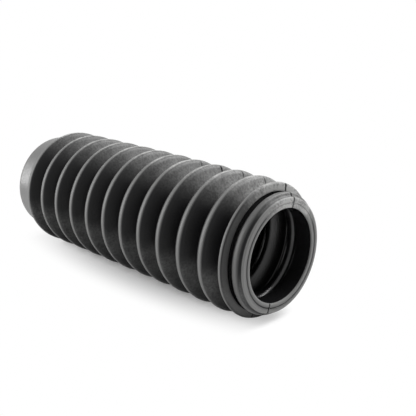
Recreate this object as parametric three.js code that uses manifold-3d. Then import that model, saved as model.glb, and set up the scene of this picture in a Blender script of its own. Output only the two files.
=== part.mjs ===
// Fork gaiter: a moulded rubber bellows for the fork leg of a motorcycle, lying on its side on a floor.
// X runs along the gaiter, from the plain far sleeve to the mouth collar. Z is up and the floor is z = 0.
// All sizes are in millimetres. An outline is a list of [x, r] points: x along the axis, r out from it.

import * as THREE from 'three';
import Module from 'manifold-3d';
import { mergeVertices } from 'three/addons/utils/BufferGeometryUtils.js';

// Folds
const mouthBore = 52; // diameter of the bore that grips the lower tube
const foldClearance = 0.6; // the folds' inner edges stand this far outside the mouth's bore
const wall = 2.2; // thickness of the folded wall and of the far sleeve
const foldDepth = 9.5; // from the outside of a valley to the outside of a crest
const foldPitch = 16;
const foldCount = 12; // the end ring is the last
const crestRound = 3.6; // radius of a crest's outside, in section
const valleyRound = 1.2; // radius of a valley's outside, in section

// Far sleeve
const farBore = 60.6;
const farLength = 12.4; // from the free end to the first valley
const farRound = 0.5;

// End ring: the last fold, nearly solid, with a narrow tip and a steep front
const endPitch = 13.2; // from the crest before it to its tip
const endStep = 0.7; // its tip stands this far inside the other crests
const tipRound = 1.5;
const hollowRound = 1; // radius of the top of the small hollow inside it
const ringFront = 2; // its front face stands this far ahead of the middle of its tip
const ringFrontDepth = 4.2; // from its tip to the lower edge of its front face
const ringFrontRound = 0.8;

// Strap groove between the end ring and the mouth collar
const grooveFloor = 3.2; // thickness of rubber under the groove
const grooveWidth = 3.2; // at its floor
const grooveUndercut = 0.8; // its back wall stands this far behind the end ring's front face
const grooveRound = 0.5;

// Mouth collar: a round shoulder, a shallow waist and a lip, with a fine bead round the bore
const shoulderWall = 7.6; // from the bore to the top of the shoulder
const shoulderRound = 1.7;
const shoulderLength = 3.4;
const waistWall = 5.7;
const waistLength = 3; // from the front of the shoulder to the lip's face
const waistRound = 0.8;
const lipFlare = 0.3; // the lip's outer edge stands this far outside the waist
const lipRound = 1.5;
const beadWidth = 2.6; // from the bore to the line that parts the bead from the rest of the face
const lineDepth = 0.5;
const lineWidth = 0.8;
const boreEdge = 0.9; // how far the bore's edges are softened

// Rest: the soft gaiter lies in a slight arch, and its crests are pressed flat where they meet the floor
const restFlatWidth = 10; // across the flat of a crest at the middle of the arch
const arch = 1; // the ends of the axis lie this far below its middle

// Facets
const around = 32;
const outsideSteps = { crest: 4, valley: 1 };
const insideSteps = { crest: 2, valley: 2 };
const fineCorner = 2;

const boreRadius = mouthBore / 2;
const valleyRadius = boreRadius + foldClearance + wall;
const crestRadius = valleyRadius + foldDepth;
const ringRadius = crestRadius - endStep;
const sleeveRadius = farBore / 2 + wall;
const firstCrest = farLength + foldPitch / 2;
const tip = firstCrest + (foldCount - 2) * foldPitch + endPitch;
const grooveBack = tip + ringFront - grooveUndercut;
const shoulderBack = grooveBack + grooveWidth;
const face = shoulderBack + shoulderLength + waistLength;

// Points of an arc about (x, r). Angles are in radians: 0 points along +X, a quarter turn points outwards.
function arc({ x, r, radius }, from, to, steps) {
  const points = [];
  for (let i = 0; i <= steps; i++) {
    const angle = from + ((to - from) * i) / steps;
    points.push([x + radius * Math.cos(angle), r + radius * Math.sin(angle)]);
  }
  return points;
}

// Angle from the radial direction of the straight flank that touches a valley's arc and a crest's arc.
function flankBetween(valley, crest) {
  const run = Math.abs(crest.x - valley.x);
  const rise = crest.r - valley.r;
  return Math.acos((crest.radius + valley.radius) / Math.hypot(run, rise)) - Math.atan2(rise, run);
}

// The folds as arcs, valley and crest by turns. inset is 0 for the outside and the wall's thickness for the
// inside. The last crest is the end ring's, which has a section of its own.
function foldArcs(inset, endCrest) {
  const arcs = [];
  for (let i = 0; i < foldCount; i++) {
    const x = firstCrest + i * foldPitch;
    const floor = i === 0 ? sleeveRadius : valleyRadius;
    arcs.push({ x: x - foldPitch / 2, r: floor + valleyRound, radius: valleyRound + inset });
    arcs.push({ x, r: crestRadius - crestRound, radius: crestRound - inset });
  }
  arcs[arcs.length - 1] = endCrest;
  return arcs;
}

// Follows the arcs from the far sleeve to the end ring, whose arc ends straight ahead.
function traceFolds(arcs, steps) {
  const points = [];
  for (let i = 0; i < arcs.length; i += 2) {
    const [valley, crest, next] = arcs.slice(i, i + 3);
    const before = i === 0 ? Math.PI / 2 : flankBetween(valley, arcs[i - 1]);
    const between = flankBetween(valley, crest);
    const after = next ? flankBetween(next, crest) : 0;
    points.push(...arc(valley, Math.PI + before, 2 * Math.PI - between, steps.valley));
    points.push(...arc(crest, Math.PI - between, after, steps.crest));
  }
  return points;
}

// Rounds the corners of an open outline. A corner is [x, r, cut, steps]: its curve starts and ends at the
// distance cut from it, and is a plain chamfer unless it has more steps than one.
function soften(corners) {
  const points = [];
  for (let i = 1; i < corners.length - 1; i++) {
    const [before, corner, after] = corners.slice(i - 1, i + 2).map(([x, r]) => new THREE.Vector2(x, r));
    const [cut, steps = 1] = corners[i].slice(2);
    const start = before.sub(corner).setLength(cut).add(corner);
    const end = after.sub(corner).setLength(cut).add(corner);
    const curve = new THREE.QuadraticBezierCurve(start, corner, end);
    points.push(...curve.getPoints(steps).map((p) => [p.x, p.y]));
  }
  return points;
}

// From the end ring's front face through the strap groove and over the collar to the lip's face.
function mouthOutside() {
  const grooveBottom = boreRadius + grooveFloor;
  const shoulderTop = boreRadius + shoulderWall;
  const shoulderFront = shoulderBack + shoulderLength;
  const waist = boreRadius + waistWall;
  return soften([
    [tip + tipRound, ringRadius - tipRound],
    [tip + ringFront, ringRadius - ringFrontDepth, ringFrontRound],
    [grooveBack, grooveBottom, grooveRound],
    [shoulderBack, grooveBottom, grooveRound],
    [shoulderBack, shoulderTop, shoulderRound, fineCorner],
    [shoulderFront, shoulderTop, waistRound],
    [shoulderFront + waistRound, waist, waistRound],
    [face, waist + lipFlare, lipRound, fineCorner],
    [face, boreRadius],
  ]);
}

// The fine line across the lip's face, beside the bead.
function faceLine() {
  const line = boreRadius + beadWidth;
  return [
    [face, line + lineWidth / 2],
    [face - lineDepth, line],
    [face, line - lineWidth / 2],
  ];
}

// From the bead over the edge of the bore, along the bore, and up the front wall of the end ring's hollow.
function mouthInside(hollow) {
  const hollowFront = hollow.x + hollow.radius;
  return soften([
    [face, boreRadius + beadWidth],
    [face, boreRadius, boreEdge],
    [hollowFront, boreRadius, boreEdge],
    [hollowFront, hollow.r],
  ]);
}

// The top of the small hollow inside the end ring. It keeps the wall's thickness from the ring's front face
// and from its back flank, so it ends where the ring grows too narrow to hold it.
function endHollow(endTip) {
  const lastValleyX = tip - endPitch + foldPitch / 2;
  const lastValley = { x: lastValleyX, r: valleyRadius + valleyRound, radius: valleyRound };
  const flank = flankBetween(lastValley, endTip);
  const back = ringFront - wall - hollowRound;
  const drop = (tipRound - wall - hollowRound + back * Math.cos(flank)) / Math.sin(flank);
  return { x: tip + back, r: endTip.r + drop, radius: hollowRound };
}

// The whole section as one closed outline, from the far sleeve's end over the outside to the mouth and back
// along the inside.
function section() {
  const endTip = { x: tip, r: ringRadius - tipRound, radius: tipRound };
  const hollow = endHollow(endTip);
  const sleeveBore = farBore / 2;
  const start = [0, sleeveBore + farRound];
  return [
    start,
    [0, sleeveRadius - farRound],
    [farRound, sleeveRadius],
    ...traceFolds(foldArcs(0, endTip), outsideSteps),
    ...mouthOutside(),
    ...faceLine(),
    ...mouthInside(hollow),
    ...traceFolds(foldArcs(wall, hollow), insideSteps).reverse(),
    [farRound, sleeveBore],
    start,
  ];
}

// The section turned about the gaiter's axis, with a facet at the bottom, laid along X and then arched: each
// point sinks by the square of its distance from the middle, counted in half lengths, times the arch.
function turned(outline) {
  const points = outline.map(([x, r]) => new THREE.Vector2(r, x));
  const geometry = new THREE.LatheGeometry(points, around, Math.PI / around);
  geometry.rotateZ(-Math.PI / 2);
  const place = geometry.getAttribute('position');
  for (let i = 0; i < place.count; i++) {
    const halves = (place.getX(i) * 2) / face - 1;
    place.setZ(i, place.getZ(i) - arch * halves ** 2);
  }
  return geometry;
}

// A solid from a geometry's positions alone.
function solid(wasm, geometry) {
  const bare = new THREE.BufferGeometry();
  bare.setAttribute('position', geometry.getAttribute('position'));
  bare.setIndex(geometry.getIndex());
  const merged = mergeVertices(bare);
  return new wasm.Manifold(
    new wasm.Mesh({
      numProp: 3,
      vertProperties: new Float32Array(merged.getAttribute('position').array),
      triVerts: new Uint32Array(merged.getIndex().array),
    }),
  );
}

function geometryOf(manifold) {
  const mesh = manifold.getMesh();
  const geometry = new THREE.BufferGeometry();
  geometry.setAttribute('position', new THREE.BufferAttribute(new Float32Array(mesh.vertProperties), 3));
  geometry.setIndex(new THREE.BufferAttribute(new Uint32Array(mesh.triVerts), 1));
  geometry.computeVertexNormals();
  return geometry;
}

const wasm = await Module();
wasm.setup();

// Height of the middle of the axis over the floor, where a crest's flat has the width given.
const axisHeight = Math.sqrt(crestRadius ** 2 - (restFlatWidth / 2) ** 2);

const pressedAway = new THREE.BoxGeometry(face * 2, crestRadius * 2, crestRadius * 2);
pressedAway.translate(face / 2, 0, -axisHeight - crestRadius);

const bellows = solid(wasm, turned(section())).subtract(solid(wasm, pressedAway));
const bellowsGeometry = geometryOf(bellows);
bellowsGeometry.translate(-face / 2, 0, axisHeight);

const rubber = new THREE.MeshStandardMaterial({ color: '#2b2c2e', roughness: 0.6, metalness: 0 });
const gaiterMesh = new THREE.Mesh(bellowsGeometry, rubber);
gaiterMesh.name = 'gaiter';

const forkGaiter = new THREE.Group();
forkGaiter.name = 'fork_gaiter';
forkGaiter.add(gaiterMesh);

export default forkGaiter;
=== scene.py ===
"""Looks of a fork gaiter: a moulded rubber bellows lying on its side on a pale floor.

The gaiter is one surface turned about its axis, which runs along X from the plain far sleeve to the mouth
collar. Sizes are in millimetres up to the mesh, which is in metres. An outline is an array of (x, r)
points: x along the axis from the far sleeve's end, r out from the axis. Round the axis, the angle runs
from the top towards +Y.
"""

import math

import bpy
import numpy as np
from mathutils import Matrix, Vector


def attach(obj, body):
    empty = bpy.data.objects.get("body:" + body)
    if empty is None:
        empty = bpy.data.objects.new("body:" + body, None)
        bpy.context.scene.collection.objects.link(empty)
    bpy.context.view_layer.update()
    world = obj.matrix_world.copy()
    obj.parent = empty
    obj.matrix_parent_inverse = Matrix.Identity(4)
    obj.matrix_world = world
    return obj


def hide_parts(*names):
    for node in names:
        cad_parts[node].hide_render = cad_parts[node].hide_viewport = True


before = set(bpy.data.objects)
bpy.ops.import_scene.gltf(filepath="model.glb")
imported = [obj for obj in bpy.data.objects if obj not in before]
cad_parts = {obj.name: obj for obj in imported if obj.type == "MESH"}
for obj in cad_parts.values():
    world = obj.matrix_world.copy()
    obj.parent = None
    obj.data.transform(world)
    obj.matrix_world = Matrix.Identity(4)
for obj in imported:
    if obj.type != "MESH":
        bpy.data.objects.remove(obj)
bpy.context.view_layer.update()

MM = 0.001

# Folds
MOUTH_BORE = 26.0  # radius
FOLD_CLEARANCE = 0.6  # the folds' inner edges stand this far outside the mouth's bore
WALL = 2.2
FOLD_DEPTH = 9.5
VALLEY_RADIUS = MOUTH_BORE + FOLD_CLEARANCE + WALL
CREST_RADIUS = VALLEY_RADIUS + FOLD_DEPTH
FOLD_PITCH = 16.0
FOLDS = 11  # full folds; the end ring comes after them
CREST_ROUND = 3.6
VALLEY_ROUND = 1.2

# Far sleeve
SLEEVE_BORE = 30.3  # radius
SLEEVE_RADIUS = SLEEVE_BORE + WALL
SLEEVE_LENGTH = 12.4
SLEEVE_ROUND = 0.5

# End ring
END_PITCH = 13.2
END_STEP = 0.7  # its tip stands this far inside the other crests
END_RADIUS = CREST_RADIUS - END_STEP
TIP_ROUND = 1.5
HOLLOW_ROUND = 1.0
RING_FRONT = 2.0
RING_FRONT_DEPTH = 4.2
RING_FRONT_ROUND = 0.8

# Strap groove
GROOVE_FLOOR = 3.2
GROOVE_WIDTH = 3.2
GROOVE_UNDERCUT = 0.8
GROOVE_ROUND = 0.5

# Mouth collar
SHOULDER_WALL = 7.6
SHOULDER_ROUND = 1.7
SHOULDER_LENGTH = 3.4
WAIST_WALL = 5.7
WAIST_LENGTH = 3.0
WAIST_ROUND = 0.8
LIP_FLARE = 0.3
LIP_ROUND = 1.5
BEAD_WIDTH = 2.6
LINE_DEPTH = 0.5
LINE_WIDTH = 0.8
LINE_ROUND = 0.1
BORE_EDGE = 0.9

# Rest: the soft gaiter lies in a slight arch
REST_FLAT = 10.0
ARCH = 1.0

FIRST_CREST = SLEEVE_LENGTH + FOLD_PITCH / 2
TIP = FIRST_CREST + (FOLDS - 1) * FOLD_PITCH + END_PITCH
RING_BACK = TIP - 3.0
GROOVE_BACK = TIP + RING_FRONT - GROOVE_UNDERCUT
SHOULDER_BACK = GROOVE_BACK + GROOVE_WIDTH
SHOULDER_FRONT = SHOULDER_BACK + SHOULDER_LENGTH
FACE = SHOULDER_FRONT + WAIST_LENGTH
FACE_START = FACE - 0.7  # what lies ahead of this counts as the lip's face
AXIS_HEIGHT = math.sqrt(CREST_RADIUS**2 - (REST_FLAT / 2) ** 2)

# Facets
AROUND = 190
OUTSIDE = {"crest": 12, "valley": 5}
INSIDE = {"crest": 5, "valley": 4}
SLEEVE_STEPS = 5
SAME_POINT = 1e-4  # points of the outline that lie closer than this are one

# Which points are outside: their normal's r is more than the first, and their r more than the second
OUTSIDE_NORMAL = -0.05
OUTSIDE_RADIUS = MOUTH_BORE + 0.1

# Nicks where the two halves of the mould met. Each runs along x from its start to its end, at an angle in
# degrees, and is as deep as given: at the top on four folds, the end ring and the collar, then at the bottom
# on the ring and the collar
NICK_WIDTH = 0.42
NICK_FADE = 0.4  # its ends fade out over this much to both sides
NICK_SHADE_DEPTH = 0.25  # a nick this deep carries no grey: painted shade in the nick
NICKS = [
    (FIRST_CREST + 7 * FOLD_PITCH + 1.6, FIRST_CREST + 7 * FOLD_PITCH + 4.6, 14.0, 0.3),
    (FIRST_CREST + 8 * FOLD_PITCH + 1.8, FIRST_CREST + 8 * FOLD_PITCH + 5.4, 14.0, 0.9),
    (FIRST_CREST + 9 * FOLD_PITCH + 1.4, FIRST_CREST + 9 * FOLD_PITCH + 5.0, 14.5, 0.4),
    (FIRST_CREST + 10 * FOLD_PITCH + 1.6, FIRST_CREST + 10 * FOLD_PITCH + 4.6, 13.5, 0.3),
    (TIP - 1.2, GROOVE_BACK + 1.0, 19.5, 1.0),
    (SHOULDER_BACK + 2.0, FACE + 1.0, 14.5, 0.9),
    (TIP - 1.2, GROOVE_BACK + 1.0, 199.0, 0.5),
    (SHOULDER_BACK + 0.5, FACE + 1.0, 199.0, 0.7),
]

# Columns of points are fine about these angles, at these distances on a crest, and clear of even ones
FINE_ANGLES = np.radians([14.2, 19.5, 199.0])
FINE_OFFSETS = np.array([-1.2, -0.8, -0.55, -0.36, -0.18, 0.0, 0.18, 0.36, 0.55, 0.8, 1.2])
FINE_CLEAR = 1.5

# Unevenness of the soft rubber
WAVES = (2, 3, 5, 8)  # round the axis
WAVE_HEIGHT = 0.12  # each wave's height is this over its number
WAVE_DRIFT = (0.02, 0.09)  # least and most drift of its phase, in radians for a millimetre along x

# Grey sheen: how much smooth grey the crest edges, the collar, the lip's face and the sleeve carry, where all
# of it is 1. It is mostly painted sheen and painted highlight, with a little wear on the crest edges
PAINTED_RIM_REACH = 0.35  # how far the painted highlight on a crest's edge reaches down
PAINTED_RIM_TOP = 0.05  # the painted highlight is full from the top down to here
# Grey on the crest edges: painted highlight, with a little wear
RIM_WEAR_AND_HIGHLIGHT = 0.4
# Grey on the far sleeve: painted reflection
PAINTED_SLEEVE_SHEEN = 0.3
SLEEVE_FADE = 2.0  # the sleeve's painted reflection and its gloss fade out over this much before the first fold
# Grey on the lip's face: painted light
PAINTED_FACE_LIGHT = 0.5
LINE_TIGHT = 1.5  # how many times narrower than the line on the face the gap in its painted light is; the gap is painted shade along the line
# Painted light and shade over the collar along x: lighter on the end ring's front and the shoulder, none in
# the waist
PAINTED_COLLAR_LIGHT = [
    (TIP + 1.0, 0.0),
    (TIP + 1.6, 0.21),
    (GROOVE_BACK + 1.0, 0.18),
    (SHOULDER_BACK - 0.2, 0.08),
    (SHOULDER_BACK + 0.6, 0.3),
    (SHOULDER_FRONT, 0.3),
    (SHOULDER_FRONT + 0.6, 0.0),
    (FACE - 1.4, 0.0),
    (FACE - 0.7, 0.22),
]

# Bloom and painted light: how much mottled grey the parts carry, where all of it is 1. The mottling is the
# rubber's bloom; where it lies is painted light and shade
PAINTED_TOP_LIGHT = math.radians(15.0)  # the middle of the painted light along the top, where the overhead lamp falls
PAINTED_TOP_LIGHT_FADE = (math.radians(16.0), math.radians(66.0))  # off that middle, where it starts and ends to fade
# Painted floor bounce: a thin layer of grey low on both sides, where light comes up off the floor
PAINTED_BOUNCE = 0.17
PAINTED_BOUNCE_RISE = (0.0, 0.3)  # it comes in and goes out at these shares of the way from the axis to the bottom
PAINTED_BOUNCE_FALL = (0.4, 0.95)
# Along x the grey grows towards the mouth and is strongest on the end ring's front: partly bloom and partly
# painted light
BLOOM_AND_LIGHT_ALONG = [
    (0.0, 0.3),
    (FIRST_CREST + 4 * FOLD_PITCH, 0.34),
    (FIRST_CREST + 8 * FOLD_PITCH, 0.38),
    (FIRST_CREST + 10 * FOLD_PITCH, 0.55),
    (TIP + 1.4, 0.75),
    (TIP + 1.6, 1.4),
    (GROOVE_BACK + 0.6, 1.4),
    (SHOULDER_BACK, 0.42),
    (FACE - 0.7, 0.42),
    (FACE - 0.5, 0.95),
]
GROOVE_SHADE = 0.85  # how much of the grey is taken off on the groove's floor: painted shade in the recess
GROOVE_SHADE_START = (GROOVE_BACK - 0.6, GROOVE_BACK)
GROOVE_SHADE_END = SHOULDER_BACK + 0.2
GROOVE_SHADE_HEIGHT = 3.0  # over the groove's floor, where the painted shade has ended

# Stage
MIDDLE = (0.0, 0.0, 0.04)  # the lamps look here
SHADOW_KEPT = 0.016  # up to this distance the floor is as it is lit
SHADOW_GONE = 0.0445  # from here on it is white


def arc(x, r, radius, start, end, steps):
    """Points of an arc about (x, r): centre plus radius times (cos, sin) of angles evenly apart."""
    angle = np.linspace(start, end, steps + 1)
    return np.stack([x + radius * np.cos(angle), r + radius * np.sin(angle)], axis=1)


def flank_between(valley, crest):
    """Angle from the radial direction of the straight flank that touches a valley's and a crest's arc: the
    arc cosine of the radii's sum over the centres' distance, less the slope of the line of centres."""
    run = abs(crest[0] - valley[0])
    rise = crest[1] - valley[1]
    return math.acos((crest[2] + valley[2]) / math.hypot(run, rise)) - math.atan2(rise, run)


def fold_arcs(inset, end_crest):
    """Valley and crest arcs by turns, each (x, r, radius). A valley's radius grows by inset and a crest's
    shrinks by it, so inset 0 gives the outside and the wall's thickness gives the inside."""
    arcs = []
    for i in range(FOLDS + 1):
        x = FIRST_CREST + i * FOLD_PITCH
        floor = SLEEVE_RADIUS if i == 0 else VALLEY_RADIUS
        arcs.append((x - FOLD_PITCH / 2, floor + VALLEY_ROUND, VALLEY_ROUND + inset))
        arcs.append((x, CREST_RADIUS - CREST_ROUND, CREST_ROUND - inset))
    arcs[-1] = end_crest
    return arcs


def trace_folds(arcs, steps):
    """Joins the arcs from the far sleeve to the end ring with the straight flanks that touch them. The last
    arc ends straight ahead."""
    points = []
    for i in range(0, len(arcs), 2):
        valley, crest = arcs[i : i + 2]
        before = math.pi / 2 if i == 0 else flank_between(valley, arcs[i - 1])
        between = flank_between(valley, crest)
        after = flank_between(arcs[i + 2], crest) if i + 2 < len(arcs) else 0.0
        points.append(arc(*valley, math.pi + before, 2 * math.pi - between, steps["valley"]))
        points.append(arc(*crest, math.pi - between, after, steps["crest"]))
    return np.concatenate(points)


def soften(corners, steps=6):
    """Rounds the corners of an open outline. Each corner (x, r, cut) becomes the quadratic curve that has
    the corner as its control point and starts and ends at the distance cut from it."""
    at = np.array([c[:2] for c in corners])
    t = np.linspace(0.0, 1.0, steps + 1)[:, None]
    points = []
    for before, corner, after, (_, _, cut) in zip(at, at[1:], at[2:], corners[1:-1]):
        start = corner + (before - corner) * cut / np.linalg.norm(before - corner)
        end = corner + (after - corner) * cut / np.linalg.norm(after - corner)
        points.append((1 - t) ** 2 * start + 2 * t * (1 - t) * corner + t**2 * end)
    return np.concatenate(points)


def mouth_outside():
    """From the end ring's front face through the strap groove and over the collar to the lip's face."""
    floor = MOUTH_BORE + GROOVE_FLOOR
    top = MOUTH_BORE + SHOULDER_WALL
    waist = MOUTH_BORE + WAIST_WALL
    return soften(
        [
            (TIP + TIP_ROUND, END_RADIUS - TIP_ROUND, 0),
            (TIP + RING_FRONT, END_RADIUS - RING_FRONT_DEPTH, RING_FRONT_ROUND),
            (GROOVE_BACK, floor, GROOVE_ROUND),
            (SHOULDER_BACK, floor, GROOVE_ROUND),
            (SHOULDER_BACK, top, SHOULDER_ROUND),
            (SHOULDER_FRONT, top, WAIST_ROUND),
            (SHOULDER_FRONT + WAIST_ROUND, waist, WAIST_ROUND),
            (FACE, waist + LIP_FLARE, LIP_ROUND),
            (FACE, MOUTH_BORE, 0),
        ]
    )


def face_line():
    """The fine line across the lip's face, as a V beside the bead."""
    line = MOUTH_BORE + BEAD_WIDTH
    return soften(
        [
            (FACE, line + LINE_WIDTH, 0),
            (FACE, line + LINE_WIDTH / 2, LINE_ROUND),
            (FACE - LINE_DEPTH, line, LINE_ROUND),
            (FACE, line - LINE_WIDTH / 2, LINE_ROUND),
            (FACE, line - LINE_WIDTH, 0),
        ],
        steps=2,
    )


def mouth_inside(hollow):
    """Over the edge of the bore, along the bore, and up the front wall of the end ring's hollow."""
    front = hollow[0] + hollow[2]
    return soften(
        [
            (FACE, MOUTH_BORE + BEAD_WIDTH, 0),
            (FACE, MOUTH_BORE, BORE_EDGE),
            (front, MOUTH_BORE, BORE_EDGE),
            (front, hollow[1], 0),
        ]
    )


def end_hollow(end_tip):
    """Top of the small hollow inside the end ring: it keeps the wall's thickness from the ring's front face
    and from its back flank."""
    last_valley = (TIP - END_PITCH + FOLD_PITCH / 2, VALLEY_RADIUS + VALLEY_ROUND, VALLEY_ROUND)
    flank = flank_between(last_valley, end_tip)
    back = RING_FRONT - WALL - HOLLOW_ROUND
    drop = (TIP_ROUND - WALL - HOLLOW_ROUND + back * math.cos(flank)) / math.sin(flank)
    return (TIP + back, end_tip[1] + drop, HOLLOW_ROUND)


def straight(start, end, steps):
    """Points evenly apart between two points, without the ends."""
    t = np.linspace(0.0, 1.0, steps + 2)[1:-1, None]
    return np.array(start) * (1 - t) + np.array(end) * t


def section():
    """The whole section as one closed outline: over the outside to the mouth and back along the inside."""
    end_tip = (TIP, END_RADIUS - TIP_ROUND, TIP_ROUND)
    hollow = end_hollow(end_tip)
    cap = soften(
        [
            (SLEEVE_LENGTH / 2, SLEEVE_BORE, 0),
            (0.0, SLEEVE_BORE, SLEEVE_ROUND),
            (0.0, SLEEVE_RADIUS, SLEEVE_ROUND),
            (SLEEVE_LENGTH / 2, SLEEVE_RADIUS, 0),
        ],
        steps=4,
    )
    outside = trace_folds(fold_arcs(0.0, end_tip), OUTSIDE)
    inside = trace_folds(fold_arcs(WALL, hollow), INSIDE)[::-1]
    sleeve = straight(cap[-1], outside[0], SLEEVE_STEPS)
    parts = [cap, sleeve, outside, mouth_outside(), face_line(), mouth_inside(hollow), inside]
    outline = np.concatenate(parts)
    apart = np.linalg.norm(outline - np.roll(outline, 1, axis=0), axis=1) > SAME_POINT
    return outline[apart]


def outward(outline):
    """Unit normals of the closed outline, to its left, which is out of the rubber."""
    along = np.roll(outline, -1, axis=0) - np.roll(outline, 1, axis=0)
    normal = np.stack([-along[:, 1], along[:, 0]], axis=1)
    return normal / np.linalg.norm(normal, axis=1)[:, None]


def angles():
    """Angles round the axis: evenly apart, with more of them close beside the nicks."""
    even = np.arange(AROUND) * 2 * math.pi / AROUND
    near = FINE_OFFSETS / CREST_RADIUS
    clear = np.all([np.abs(even - line) > FINE_CLEAR / CREST_RADIUS for line in FINE_ANGLES], axis=0)
    return np.sort(np.concatenate([even[clear]] + [line + near for line in FINE_ANGLES]))


def smooth_step(value, start, end):
    """0 before start, 1 after end and 3 t^2 - 2 t^3 between them, where t is the share of the way."""
    t = np.clip((value - start) / (end - start), 0.0, 1.0)
    return t * t * (3.0 - 2.0 * t)


def read_table(x, table):
    """Value at each x of a table of (x, value) rows, in straight lines from row to row."""
    return np.interp(x, *np.transpose(table))


def on_outside(outline, normal):
    """True for the points of the outline that lie on the outside or on the lip's face."""
    x, r = outline[:, 0], outline[:, 1]
    return ((normal[:, 1] > OUTSIDE_NORMAL) & (r > OUTSIDE_RADIUS)) | (x > FACE_START)


def on_sleeve(x):
    """1 on the far sleeve, with a smooth step to 0 over the SLEEVE_FADE before the first fold."""
    return smooth_step(-x, -SLEEVE_LENGTH, SLEEVE_FADE - SLEEVE_LENGTH)


def on_edge(r, radius):
    """1 at the top of a crest of that radius, with a smooth step to 0 at PAINTED_RIM_REACH below it. It
    places the painted highlight along a crest's edge.
    """
    return smooth_step(r, radius - PAINTED_RIM_REACH, radius - PAINTED_RIM_TOP)


def nick_depth(outline, normal, angle):
    """Depth of the nicks: each is a bell across, exp(-(distance / width)^2), and fades out over its ends by
    a smooth step."""
    x = outline[:, 0]
    depth = np.zeros((len(outline), len(angle)))
    for start, end, degrees, deep in NICKS:
        started = smooth_step(x, start - NICK_FADE, start + NICK_FADE)
        ended = smooth_step(x, end - NICK_FADE, end + NICK_FADE)
        along = started * (1.0 - ended)
        across = np.exp(-(((angle - math.radians(degrees)) * CREST_RADIUS / NICK_WIDTH) ** 2))
        depth += deep * along[:, None] * across[None, :]
    return depth * on_outside(outline, normal)[:, None]


def unevenness(outline, angle, seed=7):
    """Small, smooth unevenness of soft rubber: WAVE_HEIGHT times the sum of cos(n angle + phase + drift x)
    / n over the counts n of WAVES, with a phase and a drift by chance for each."""
    chance = np.random.default_rng(seed)
    x = outline[:, 0][:, None]
    total = np.zeros((len(outline), len(angle)))
    for turns in WAVES:
        phase, drift = chance.uniform(0, 2 * math.pi), chance.uniform(*WAVE_DRIFT)
        total += np.cos(turns * angle[None, :] + phase + drift * x) / turns
    return total * WAVE_HEIGHT


def wear_and_painted_sheen_share(outline, normal):
    """Share of smooth grey on each point of the section, mostly painted sheen and highlight with a little
    wear on the crest edges, as the most of five layers: the edge of each crest and that of the end ring, the
    sleeve, the collar as PAINTED_COLLAR_LIGHT says, and the lip's face, less a bell exp(-(distance /
    width)^2) across its line, which leaves painted shade along the line."""
    x, r = outline[:, 0], outline[:, 1]
    line = np.exp(-(((r - MOUTH_BORE - BEAD_WIDTH) / LINE_WIDTH * LINE_TIGHT) ** 2))
    over_groove = r > MOUTH_BORE + GROOVE_FLOOR - GROOVE_ROUND
    # The layers are painted light: a painted highlight on the crest edges with a little wear, a painted
    # reflection on the sleeve, painted light and shade over the collar, and painted light on the lip's face
    # with painted shade along its line
    layers = [
        on_edge(r, CREST_RADIUS) * RIM_WEAR_AND_HIGHLIGHT,
        on_edge(r, END_RADIUS) * (x > RING_BACK) * RIM_WEAR_AND_HIGHLIGHT,
        on_sleeve(x) * PAINTED_SLEEVE_SHEEN,
        read_table(x, PAINTED_COLLAR_LIGHT) * over_groove * (x < FACE_START),
        (x > FACE_START) * PAINTED_FACE_LIGHT * (1.0 - line),
    ]
    return np.maximum.reduce(layers) * on_outside(outline, normal)


def bloom_and_painted_light_share(outline, normal, angle):
    """Share of mottled grey on each point: the rubber's bloom, laid out as painted light. Round the axis it
    fades from a strip along the top, painted light where the overhead lamp falls, to none at the sides, by a
    smooth step of the angle, and a thin layer lies low on both sides as a painted floor bounce. Along the
    axis it is as strong as BLOOM_AND_LIGHT_ALONG says and full on the crest edges as a painted highlight,
    with little in the strap groove, which is painted shade, and none inside."""
    x, r = outline[:, 0], outline[:, 1]
    floor = MOUTH_BORE + GROOVE_FLOOR
    # Painted shade: the grey is taken off on the strap groove's floor
    groove = smooth_step(x, *GROOVE_SHADE_START) * (x < GROOVE_SHADE_END)
    groove = groove * (1.0 - smooth_step(r, floor, floor + GROOVE_SHADE_HEIGHT))
    outside_less_groove_shade = on_outside(outline, normal) * (1.0 - GROOVE_SHADE * groove)
    off_top = np.abs((angle - PAINTED_TOP_LIGHT + math.pi) % (2 * math.pi) - math.pi)
    top = 1.0 - smooth_step(off_top, *PAINTED_TOP_LIGHT_FADE)
    down = -np.cos(angle)
    low = smooth_step(down, *PAINTED_BOUNCE_RISE) * (1.0 - smooth_step(down, *PAINTED_BOUNCE_FALL)) * PAINTED_BOUNCE
    # On the crest edges the grey is full: a painted highlight
    along = np.maximum(read_table(x, BLOOM_AND_LIGHT_ALONG), on_edge(r, CREST_RADIUS))
    return outside_less_groove_shade[:, None] * np.maximum(along[:, None] * top[None, :], low[None, :])


def gloss_share(outline, normal):
    """1 on the inside and on the far sleeve, where the steel of the mould is taken to be polished, and 0
    elsewhere."""
    return np.where(on_outside(outline, normal), on_sleeve(outline[:, 0]), 1.0)


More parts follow.
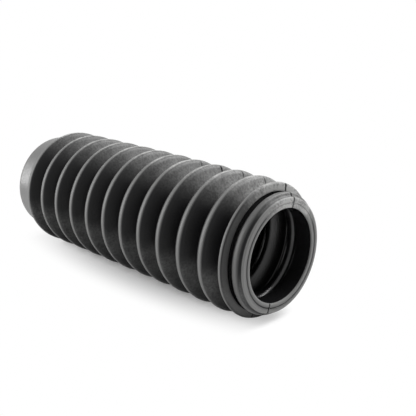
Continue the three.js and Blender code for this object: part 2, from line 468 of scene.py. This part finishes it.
def turned_surface():
    """The section turned about the axis: height r cos(angle), side r sin(angle). Its points go in along the
    section's normal by the nicks' depth and out from the axis by the unevenness. The axis sinks by the square
    of the distance from its middle, in half lengths, times the arch. Nothing goes below the floor."""
    outline = section()
    angle = angles()
    normal = outward(outline)
    nicks = nick_depth(outline, normal, angle)
    x = outline[:, 0][:, None] - normal[:, 0][:, None] * nicks
    r = outline[:, 1][:, None] - normal[:, 1][:, None] * nicks + unevenness(outline, angle)
    axis_height = AXIS_HEIGHT - ARCH * (2 * x / FACE - 1) ** 2
    place = np.stack(
        [
            x - FACE / 2,
            r * np.sin(angle)[None, :],
            np.maximum(r * np.cos(angle)[None, :] + axis_height, 0.0),
        ],
        axis=2,
    )
    # Painted shade in the nicks: their grey is taken off, so they are darker
    clear = np.clip(1.0 - nicks / NICK_SHADE_DEPTH, 0.0, 1.0)
    return place * MM, {
        "bloom_and_painted_light": bloom_and_painted_light_share(outline, normal, angle) * clear,
        "wear_and_painted_sheen": wear_and_painted_sheen_share(outline, normal)[:, None] * clear,
        "gloss": np.repeat(gloss_share(outline, normal)[:, None], len(angle), axis=1),
    }


def closed_mesh(name, place, attributes):
    """Mesh of a grid of points that joins up in both directions, with values kept on its points."""
    rows, columns = place.shape[:2]
    index = np.arange(rows * columns).reshape(rows, columns)
    right = np.roll(index, -1, axis=1)
    quads = np.stack([index, right, np.roll(right, -1, axis=0), np.roll(index, -1, axis=0)], axis=2)
    mesh = bpy.data.meshes.new(name)
    mesh.vertices.add(rows * columns)
    mesh.vertices.foreach_set("co", place.astype(np.float32).ravel())
    mesh.loops.add(quads.size)
    mesh.loops.foreach_set("vertex_index", quads.astype(np.int32).ravel())
    mesh.polygons.add(quads.size // 4)
    mesh.polygons.foreach_set("loop_start", np.arange(0, quads.size, 4, dtype=np.int32))
    mesh.update(calc_edges=True)
    mesh.shade_smooth()
    for key, values in attributes.items():
        layer = mesh.attributes.new(key, "FLOAT", "POINT")
        layer.data.foreach_set("value", values.astype(np.float32).ravel())
    mesh.validate()
    return mesh


def srgb(code, alpha=1.0):
    """Linear colour of an sRGB hex code such as #26272a."""
    values = [int(code[i : i + 2], 16) / 255 for i in (1, 3, 5)]
    return (*[v / 12.92 if v <= 0.04045 else ((v + 0.055) / 1.055) ** 2.4 for v in values], alpha)


def add(tree, kind, inputs=None, **settings):
    """Adds a node, sets its settings and fills its inputs, each with a value or with a socket to link."""
    node = tree.nodes.new(kind)
    for key, value in settings.items():
        setattr(node, key, value)
    for key, value in (inputs or {}).items():
        if isinstance(value, bpy.types.NodeSocket):
            tree.links.new(value, node.inputs[key])
        else:
            node.inputs[key].default_value = value
    return node


def moulded_rubber():
    """Black natural rubber, moulded in an eroded steel mould, which leaves it matte with a fine grain. What
    the eye sees first is its grey, mostly painted light: a smooth grey on the edges of the crests, a painted
    highlight with a little wear, painted light on the collar, a painted reflection on the far sleeve, and a
    mottled bloom along the top, laid where the overhead light falls. How much of that grey the real rubber
    has is a guess."""
    material = bpy.data.materials.new("moulded_natural_rubber")
    material.use_nodes = True
    tree = material.node_tree
    tree.nodes.clear()
    place = add(tree, "ShaderNodeTexCoord").outputs["Object"]
    # This attribute is the rubber's mottled bloom, laid out as painted light, painted floor bounce, painted
    # highlight and painted shade
    share = add(tree, "ShaderNodeAttribute", attribute_name="bloom_and_painted_light").outputs["Fac"]
    # This attribute is painted sheen and highlight, with a little wear on the crest edges
    wear_and_painted_sheen = add(tree, "ShaderNodeAttribute", attribute_name="wear_and_painted_sheen").outputs["Fac"]
    # Bloom in faint patches of about 6 mm, broken up by mottling of about 1.2 mm
    patches = add(
        tree,
        "ShaderNodeTexNoise",
        {"Vector": place, "Scale": 160.0, "Detail": 2.0, "Roughness": 0.5},
    )
    mottle = add(
        tree,
        "ShaderNodeTexNoise",
        {"Vector": place, "Scale": 800.0, "Detail": 3.0, "Roughness": 0.65},
    )
    faint = add(tree, "ShaderNodeMath", {0: patches.outputs["Fac"], 1: 0.35}, operation="MULTIPLY")
    broken = add(
        tree,
        "ShaderNodeMath",
        {0: mottle.outputs["Fac"], 1: 0.65, 2: faint.outputs[0]},
        operation="MULTIPLY_ADD",
    )
    thickness = add(
        tree,
        "ShaderNodeMapRange",
        {"Value": broken.outputs[0], "From Min": 0.36, "From Max": 0.64, "To Min": 0.45, "To Max": 1.3},
    )
    mottled = add(
        tree,
        "ShaderNodeMath",
        {0: thickness.outputs["Result"], 1: share},
        operation="MULTIPLY",
    )
    amount = add(tree, "ShaderNodeMath", {0: mottled.outputs[0], 1: wear_and_painted_sheen}, operation="MAXIMUM")
    # The grey mixed in here is mostly painted light, partly the rubber's bloom and wear
    colour = add(
        tree,
        "ShaderNodeMix",
        {"Factor": amount.outputs[0], 6: srgb("#141415"), 7: srgb("#a2a2a1")},
        data_type="RGBA",
    )
    # The grey dulls the rubber
    dulled = add(
        tree,
        "ShaderNodeMapRange",
        {"Value": amount.outputs[0], "From Min": 0.0, "From Max": 0.6, "To Min": 0.38, "To Max": 0.5},
    )
    # The core of the mould and its plain sleeve are taken to be polished, so the rubber is glossier there
    gloss = add(tree, "ShaderNodeAttribute", attribute_name="gloss").outputs["Fac"]
    rough = add(
        tree,
        "ShaderNodeMath",
        {0: gloss, 1: -0.12, 2: dulled.outputs["Result"]},
        operation="MULTIPLY_ADD",
    )
    specular = add(tree, "ShaderNodeMath", {0: gloss, 1: 0.3, 2: 0.18}, operation="MULTIPLY_ADD")
    # The mould's grain is about 0.3 mm across; it is drawn 0.9 mm across, as fine as the picture shows
    grain = add(
        tree,
        "ShaderNodeTexNoise",
        {"Vector": place, "Scale": 1100.0, "Detail": 2.0, "Roughness": 0.5},
    )
    bump = add(
        tree,
        "ShaderNodeBump",
        {"Height": grain.outputs["Fac"], "Strength": 0.35, "Distance": 0.0002},
    )
    shader = add(
        tree,
        "ShaderNodeBsdfPrincipled",
        {
            "Base Color": colour.outputs[2],
            "Roughness": rough.outputs[0],
            "IOR": 1.5,
            "Specular IOR Level": specular.outputs[0],
            "Normal": bump.outputs["Normal"],
        },
    )
    add(tree, "ShaderNodeOutputMaterial", {"Surface": shader.outputs[0]})
    return material


def add_gaiter():
    """The gaiter as one closed surface that stands for the CAD solid."""
    place, attributes = turned_surface()
    mesh = closed_mesh("gaiter_surface", place, attributes)
    mesh.materials.append(moulded_rubber())
    piece = bpy.data.objects.new("gaiter_surface", mesh)
    bpy.context.scene.collection.objects.link(piece)
    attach(piece, "root")
    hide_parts("gaiter")


def pale_floor():
    """Matte white paper, rolled out. To the camera it lifts to white away from the gaiter, and keeps the
    soft shadow near it. The distance is the length of (0.3 x, y, z), as the gaiter is long in x."""
    material = bpy.data.materials.new("white_paper_sheet")
    material.use_nodes = True
    tree = material.node_tree
    tree.nodes.clear()
    path = add(tree, "ShaderNodeLightPath")
    place = add(tree, "ShaderNodeTexCoord").outputs["Object"]
    narrowed = add(
        tree, "ShaderNodeVectorMath", {0: place, 1: (0.3, 1.0, 1.0)}, operation="MULTIPLY"
    ).outputs["Vector"]
    away = add(tree, "ShaderNodeVectorMath", {0: narrowed}, operation="LENGTH").outputs["Value"]
    clear = add(
        tree,
        "ShaderNodeMapRange",
        {"Value": away, "From Min": SHADOW_KEPT, "From Max": SHADOW_GONE, "To Min": 0.0, "To Max": 1.0},
        interpolation_type="SMOOTHSTEP",
    )
    paper = add(tree, "ShaderNodeBsdfDiffuse", {"Color": srgb("#f2f2f2")})
    lift = add(tree, "ShaderNodeEmission", {"Color": (1, 1, 1, 1), "Strength": 0.12})
    lit = add(tree, "ShaderNodeAddShader", {0: paper.outputs[0], 1: lift.outputs[0]})
    white = add(tree, "ShaderNodeEmission", {"Color": (1, 1, 1, 1), "Strength": 1.0})
    seen = add(
        tree,
        "ShaderNodeMixShader",
        {0: clear.outputs["Result"], 1: lit.outputs[0], 2: white.outputs[0]},
    )
    both = add(
        tree,
        "ShaderNodeMixShader",
        {0: path.outputs["Is Camera Ray"], 1: paper.outputs[0], 2: seen.outputs[0]},
    )
    add(tree, "ShaderNodeOutputMaterial", {"Surface": both.outputs[0]})
    return material


def add_floor(half=3.0):
    """A flat square sheet under the gaiter."""
    corners = [(-half, -half, 0), (half, -half, 0), (half, half, 0), (-half, half, 0)]
    mesh = bpy.data.meshes.new("floor")
    mesh.from_pydata(corners, [], [(0, 1, 2, 3)])
    mesh.materials.append(pale_floor())
    floor = bpy.data.objects.new("floor", mesh)
    bpy.context.scene.collection.objects.link(floor)


def add_world():
    """A white studio: strength 1 to the camera and to glossy and transmitted light, and softer as a light."""
    world = bpy.data.worlds.new("studio")
    bpy.context.scene.world = world
    world.use_nodes = True
    tree = world.node_tree
    tree.nodes.clear()
    path = add(tree, "ShaderNodeLightPath")
    seen = path.outputs["Is Camera Ray"]
    for ray in ("Is Transmission Ray", "Is Glossy Ray"):
        either = add(tree, "ShaderNodeMath", {0: seen, 1: path.outputs[ray]}, operation="MAXIMUM")
        seen = either.outputs[0]
    soft = add(tree, "ShaderNodeBackground", {"Color": srgb("#ffffff"), "Strength": 0.2})
    white = add(tree, "ShaderNodeBackground", {"Color": srgb("#ffffff"), "Strength": 1.0})
    mix = add(tree, "ShaderNodeMixShader", {0: seen, 1: soft.outputs[0], 2: white.outputs[0]})
    add(tree, "ShaderNodeOutputWorld", {"Surface": mix.outputs[0]})


def add_softbox(name, place, width, height, power):
    """A rectangular area lamp at place that looks at the middle of the gaiter."""
    lamp = bpy.data.lights.new(name, "AREA")
    lamp.shape = "RECTANGLE"
    lamp.size = width
    lamp.size_y = height
    lamp.energy = power
    holder = bpy.data.objects.new(name, lamp)
    toward = np.array(MIDDLE) - np.array(place)
    holder.location = place
    holder.rotation_euler = Vector(toward).to_track_quat("-Z", "Y").to_euler()
    bpy.context.scene.collection.objects.link(holder)


def add_camera():
    """The photograph's viewing angle: turned left of +Y, looking down, with a slight roll in radians."""
    turn, down, roll = math.radians(43.60), math.radians(17.19), 0.02
    camera = bpy.data.cameras.new("camera")
    camera.sensor_width = 36.0
    camera.lens = 57.9
    camera.clip_start = 0.01
    holder = bpy.data.objects.new("camera", camera)
    holder.location = (0.3001, -0.2653, 0.1644)
    holder.rotation_mode = "QUATERNION"
    stand = Matrix.Rotation(turn, 4, "Z") @ Matrix.Rotation(math.pi / 2 - down, 4, "X")
    holder.rotation_quaternion = (stand @ Matrix.Rotation(roll, 4, "Z")).to_quaternion()
    bpy.context.scene.collection.objects.link(holder)
    bpy.context.scene.camera = holder


add_camera()
add_gaiter()
add_floor()
add_world()
add_softbox("overhead", (0.26, 0.78, 1.0), 0.9, 0.9, 26.0)
add_softbox("left", (-0.9, -0.82, 0.45), 0.4, 0.95, 18.0)

scene = bpy.context.scene
scene.view_settings.view_transform = "Standard"
